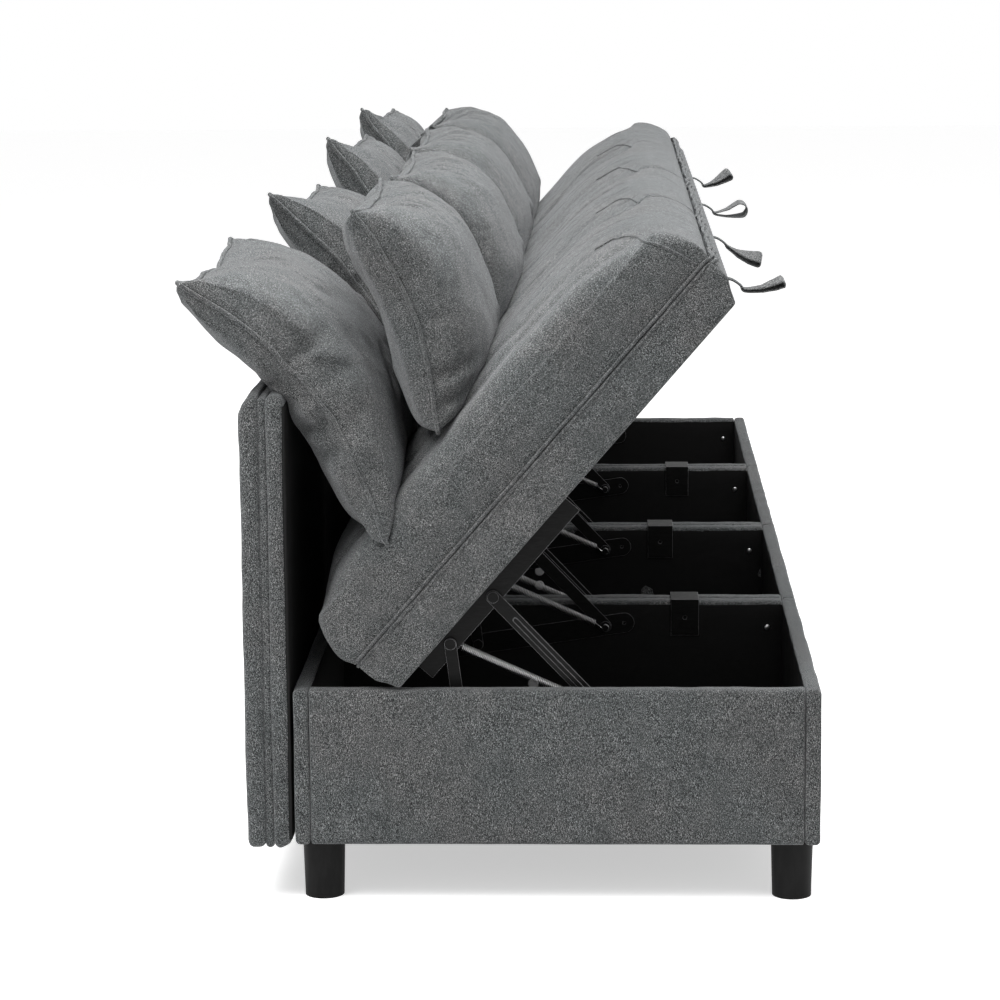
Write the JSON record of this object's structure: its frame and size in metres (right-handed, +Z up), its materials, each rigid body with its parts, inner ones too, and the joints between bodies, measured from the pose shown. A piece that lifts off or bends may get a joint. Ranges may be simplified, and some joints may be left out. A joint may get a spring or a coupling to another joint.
{
  "type": "modular sofa bed",
  "caption": "Row of armless storage sofa seats with loose back cushions; each seat lifts on a sprung four-bar hinge over a storage box.",
  "frame": {"origin": "on the floor under the middle of the row, midway between the front and the rear of the whole", "axes": "+X along the row from the pictured near end, -Y is where the seats face, +Z up"},
  "size_m": [2.318, 0.8375, 0.9388],
  "materials": {
    "upholstery": "woven",
    "lining": "matte",
    "black_steel": "powder coat",
    "spring_steel": "zinc",
    "webbing": "woven",
    "black_plastic": "moulded"
  },
  "bodies": {
    "base": {"side_panels_1": "upholstery", "front_panel_1": "upholstery", "rear_panel_1": "upholstery", "bottom_board_1": "lining", "back_panel_1": "upholstery", "side_panels_2": "upholstery", "front_panel_2": "upholstery", "rear_panel_2": "upholstery", "bottom_board_2": "lining", "back_panel_2": "upholstery", "side_panels_3": "upholstery", "front_panel_3": "upholstery", "rear_panel_3": "upholstery", "bottom_board_3": "lining", "back_panel_3": "upholstery", "side_panels_4": "upholstery", "front_panel_4": "upholstery", "rear_panel_4": "upholstery", "bottom_board_4": "lining", "back_panel_4": "upholstery", "legs": "black_plastic", "connector_clips": "black_steel", "lift_base_plates": "black_steel", "back_panel_brackets": "black_steel"},
    "front_arms_1": {"front_arms_1": "black_steel"},
    "rear_arms_1": {"rear_arms_1": "black_steel"},
    "lid_1": {"seat_frame_1": "upholstery", "seat_cushion_1": "upholstery", "pull_tab_1": "webbing", "lid_rails_1": "black_steel"},
    "lift_springs_1": {"springs_1": "spring_steel"},
    "back_cushion_1": {"back_cushion_1": "upholstery"},
    "throw_pillow_1": {"throw_pillow_1": "upholstery"},
    "front_arms_2": {"front_arms_2": "black_steel"},
    "rear_arms_2": {"rear_arms_2": "black_steel"},
    "lid_2": {"seat_frame_2": "upholstery", "seat_cushion_2": "upholstery", "pull_tab_2": "webbing", "lid_rails_2": "black_steel"},
    "lift_springs_2": {"springs_2": "spring_steel"},
    "back_cushion_2": {"back_cushion_2": "upholstery"},
    "throw_pillow_2": {"throw_pillow_2": "upholstery"},
    "front_arms_3": {"front_arms_3": "black_steel"},
    "rear_arms_3": {"rear_arms_3": "black_steel"},
    "lid_3": {"seat_frame_3": "upholstery", "seat_cushion_3": "upholstery", "pull_tab_3": "webbing", "lid_rails_3": "black_steel"},
    "lift_springs_3": {"springs_3": "spring_steel"},
    "back_cushion_3": {"back_cushion_3": "upholstery"},
    "throw_pillow_3": {"throw_pillow_3": "upholstery"},
    "front_arms_4": {"front_arms_4": "black_steel"},
    "rear_arms_4": {"rear_arms_4": "black_steel"},
    "lid_4": {"seat_frame_4": "upholstery", "seat_cushion_4": "upholstery", "pull_tab_4": "webbing", "lid_rails_4": "black_steel"},
    "lift_springs_4": {"springs_4": "spring_steel"},
    "back_cushion_4": {"back_cushion_4": "upholstery"},
    "throw_pillow_4": {"throw_pillow_4": "upholstery"}
  },
  "joints": [
    {"name": "seat_lift_1", "type": "hinge", "parent": "base", "child": "front_arms_1", "pos_m": [-0.87, -0.1357, 0.2493], "axis": [-1, 0, 0], "range_deg": [0, 40.2]},
    {"name": "lid_turn_1", "type": "hinge", "parent": "front_arms_1", "child": "lid_1", "pos_m": [-0.87, 0.01086, 0.40385], "axis": [1, 0, 0], "range_deg": [0, 89.3]},
    {"name": "rear_arm_turn_1", "type": "hinge", "parent": "base", "child": "rear_arms_1", "pos_m": [-0.87, 0.0523, 0.2217], "axis": [-1, 0, 0], "range_deg": [0, 56.79]},
    {"name": "spring_swing_1", "type": "hinge", "parent": "base", "child": "lift_springs_1", "pos_m": [-0.87, -0.1357, 0.2493], "axis": [-1, 0, 0], "range_deg": [0, 19.48], "deforming": ["springs_1"]},
    {"name": "cushion_settle_1", "type": "hinge", "parent": "lid_1", "child": "back_cushion_1", "pos_m": [-0.87, 0.19965, 0.51143], "axis": [-1, 0, 0], "range_deg": [0, 45.6]},
    {"name": "pillow_settle_1", "type": "hinge", "parent": "lid_1", "child": "throw_pillow_1", "pos_m": [-0.87, 0.12508, 0.66443], "axis": [-1, 0, 0], "range_deg": [0, 56.1]},
    {"name": "seat_lift_2", "type": "hinge", "parent": "base", "child": "front_arms_2", "pos_m": [-0.29, -0.1357, 0.2493], "axis": [-1, 0, 0], "range_deg": [0, 40.2]},
    {"name": "lid_turn_2", "type": "hinge", "parent": "front_arms_2", "child": "lid_2", "pos_m": [-0.29, 0.01086, 0.40385], "axis": [1, 0, 0], "range_deg": [0, 89.3]},
    {"name": "rear_arm_turn_2", "type": "hinge", "parent": "base", "child": "rear_arms_2", "pos_m": [-0.29, 0.0523, 0.2217], "axis": [-1, 0, 0], "range_deg": [0, 56.79]},
    {"name": "spring_swing_2", "type": "hinge", "parent": "base", "child": "lift_springs_2", "pos_m": [-0.29, -0.1357, 0.2493], "axis": [-1, 0, 0], "range_deg": [0, 19.48], "deforming": ["springs_2"]},
    {"name": "cushion_settle_2", "type": "hinge", "parent": "lid_2", "child": "back_cushion_2", "pos_m": [-0.29, 0.11945, 0.50111], "axis": [-1, 0, 0], "range_deg": [0, 49.1]},
    {"name": "pillow_settle_2", "type": "hinge", "parent": "lid_2", "child": "throw_pillow_2", "pos_m": [-0.29, 0.059, 0.61162], "axis": [-1, 0, 0], "range_deg": [0, 50.1]},
    {"name": "seat_lift_3", "type": "hinge", "parent": "base", "child": "front_arms_3", "pos_m": [0.29, -0.1357, 0.2493], "axis": [-1, 0, 0], "range_deg": [0, 40.2]},
    {"name": "lid_turn_3", "type": "hinge", "parent": "front_arms_3", "child": "lid_3", "pos_m": [0.29, 0.01086, 0.40385], "axis": [1, 0, 0], "range_deg": [0, 89.3]},
    {"name": "rear_arm_turn_3", "type": "hinge", "parent": "base", "child": "rear_arms_3", "pos_m": [0.29, 0.0523, 0.2217], "axis": [-1, 0, 0], "range_deg": [0, 56.79]},
    {"name": "spring_swing_3", "type": "hinge", "parent": "base", "child": "lift_springs_3", "pos_m": [0.29, -0.1357, 0.2493], "axis": [-1, 0, 0], "range_deg": [0, 19.48], "deforming": ["springs_3"]},
    {"name": "cushion_settle_3", "type": "hinge", "parent": "lid_3", "child": "back_cushion_3", "pos_m": [0.29, 0.08998, 0.52003], "axis": [-1, 0, 0], "range_deg": [0, 52.1]},
    {"name": "pillow_settle_3", "type": "hinge", "parent": "lid_3", "child": "throw_pillow_3", "pos_m": [0.29, 0.02499, 0.57815], "axis": [-1, 0, 0], "range_deg": [0, 46.1]},
    {"name": "seat_lift_4", "type": "hinge", "parent": "base", "child": "front_arms_4", "pos_m": [0.87, -0.1357, 0.2493], "axis": [-1, 0, 0], "range_deg": [0, 40.2]},
    {"name": "lid_turn_4", "type": "hinge", "parent": "front_arms_4", "child": "lid_4", "pos_m": [0.87, 0.01086, 0.40385], "axis": [1, 0, 0], "range_deg": [0, 89.3]},
    {"name": "rear_arm_turn_4", "type": "hinge", "parent": "base", "child": "rear_arms_4", "pos_m": [0.87, 0.0523, 0.2217], "axis": [-1, 0, 0], "range_deg": [0, 56.79]},
    {"name": "spring_swing_4", "type": "hinge", "parent": "base", "child": "lift_springs_4", "pos_m": [0.87, -0.1357, 0.2493], "axis": [-1, 0, 0], "range_deg": [0, 19.48], "deforming": ["springs_4"]},
    {"name": "cushion_settle_4", "type": "hinge", "parent": "lid_4", "child": "back_cushion_4", "pos_m": [0.87, 0.07864, 0.52314], "axis": [-1, 0, 0], "range_deg": [0, 53.1]},
    {"name": "pillow_settle_4", "type": "hinge", "parent": "lid_4", "child": "throw_pillow_4", "pos_m": [0.87, 0.02257, 0.57361], "axis": [-1, 0, 0], "range_deg": [0, 47.6]}
  ],
  "couplings": [
    {"joint": "lid_turn_1", "follows": "seat_lift_1", "ratio": 2.221},
    {"joint": "rear_arm_turn_1", "follows": "seat_lift_1", "ratio": 1.4123},
    {"joint": "spring_swing_1", "follows": "seat_lift_1", "ratio": 0.48417},
    {"joint": "cushion_settle_1", "follows": "seat_lift_1", "ratio": 1.134},
    {"joint": "pillow_settle_1", "follows": "seat_lift_1", "ratio": 1.3951},
    {"joint": "lid_turn_2", "follows": "seat_lift_2", "ratio": 2.221},
    {"joint": "rear_arm_turn_2", "follows": "seat_lift_2", "ratio": 1.4123},
    {"joint": "spring_swing_2", "follows": "seat_lift_2", "ratio": 0.48417},
    {"joint": "cushion_settle_2", "follows": "seat_lift_2", "ratio": 1.221},
    {"joint": "pillow_settle_2", "follows": "seat_lift_2", "ratio": 1.2459},
    {"joint": "lid_turn_3", "follows": "seat_lift_3", "ratio": 2.221},
    {"joint": "rear_arm_turn_3", "follows": "seat_lift_3", "ratio": 1.4123},
    {"joint": "spring_swing_3", "follows": "seat_lift_3", "ratio": 0.48417},
    {"joint": "cushion_settle_3", "follows": "seat_lift_3", "ratio": 1.2956},
    {"joint": "pillow_settle_3", "follows": "seat_lift_3", "ratio": 1.1464},
    {"joint": "lid_turn_4", "follows": "seat_lift_4", "ratio": 2.221},
    {"joint": "rear_arm_turn_4", "follows": "seat_lift_4", "ratio": 1.4123},
    {"joint": "spring_swing_4", "follows": "seat_lift_4", "ratio": 0.48417},
    {"joint": "cushion_settle_4", "follows": "seat_lift_4", "ratio": 1.3205},
    {"joint": "pillow_settle_4", "follows": "seat_lift_4", "ratio": 1.1837}
  ]
}
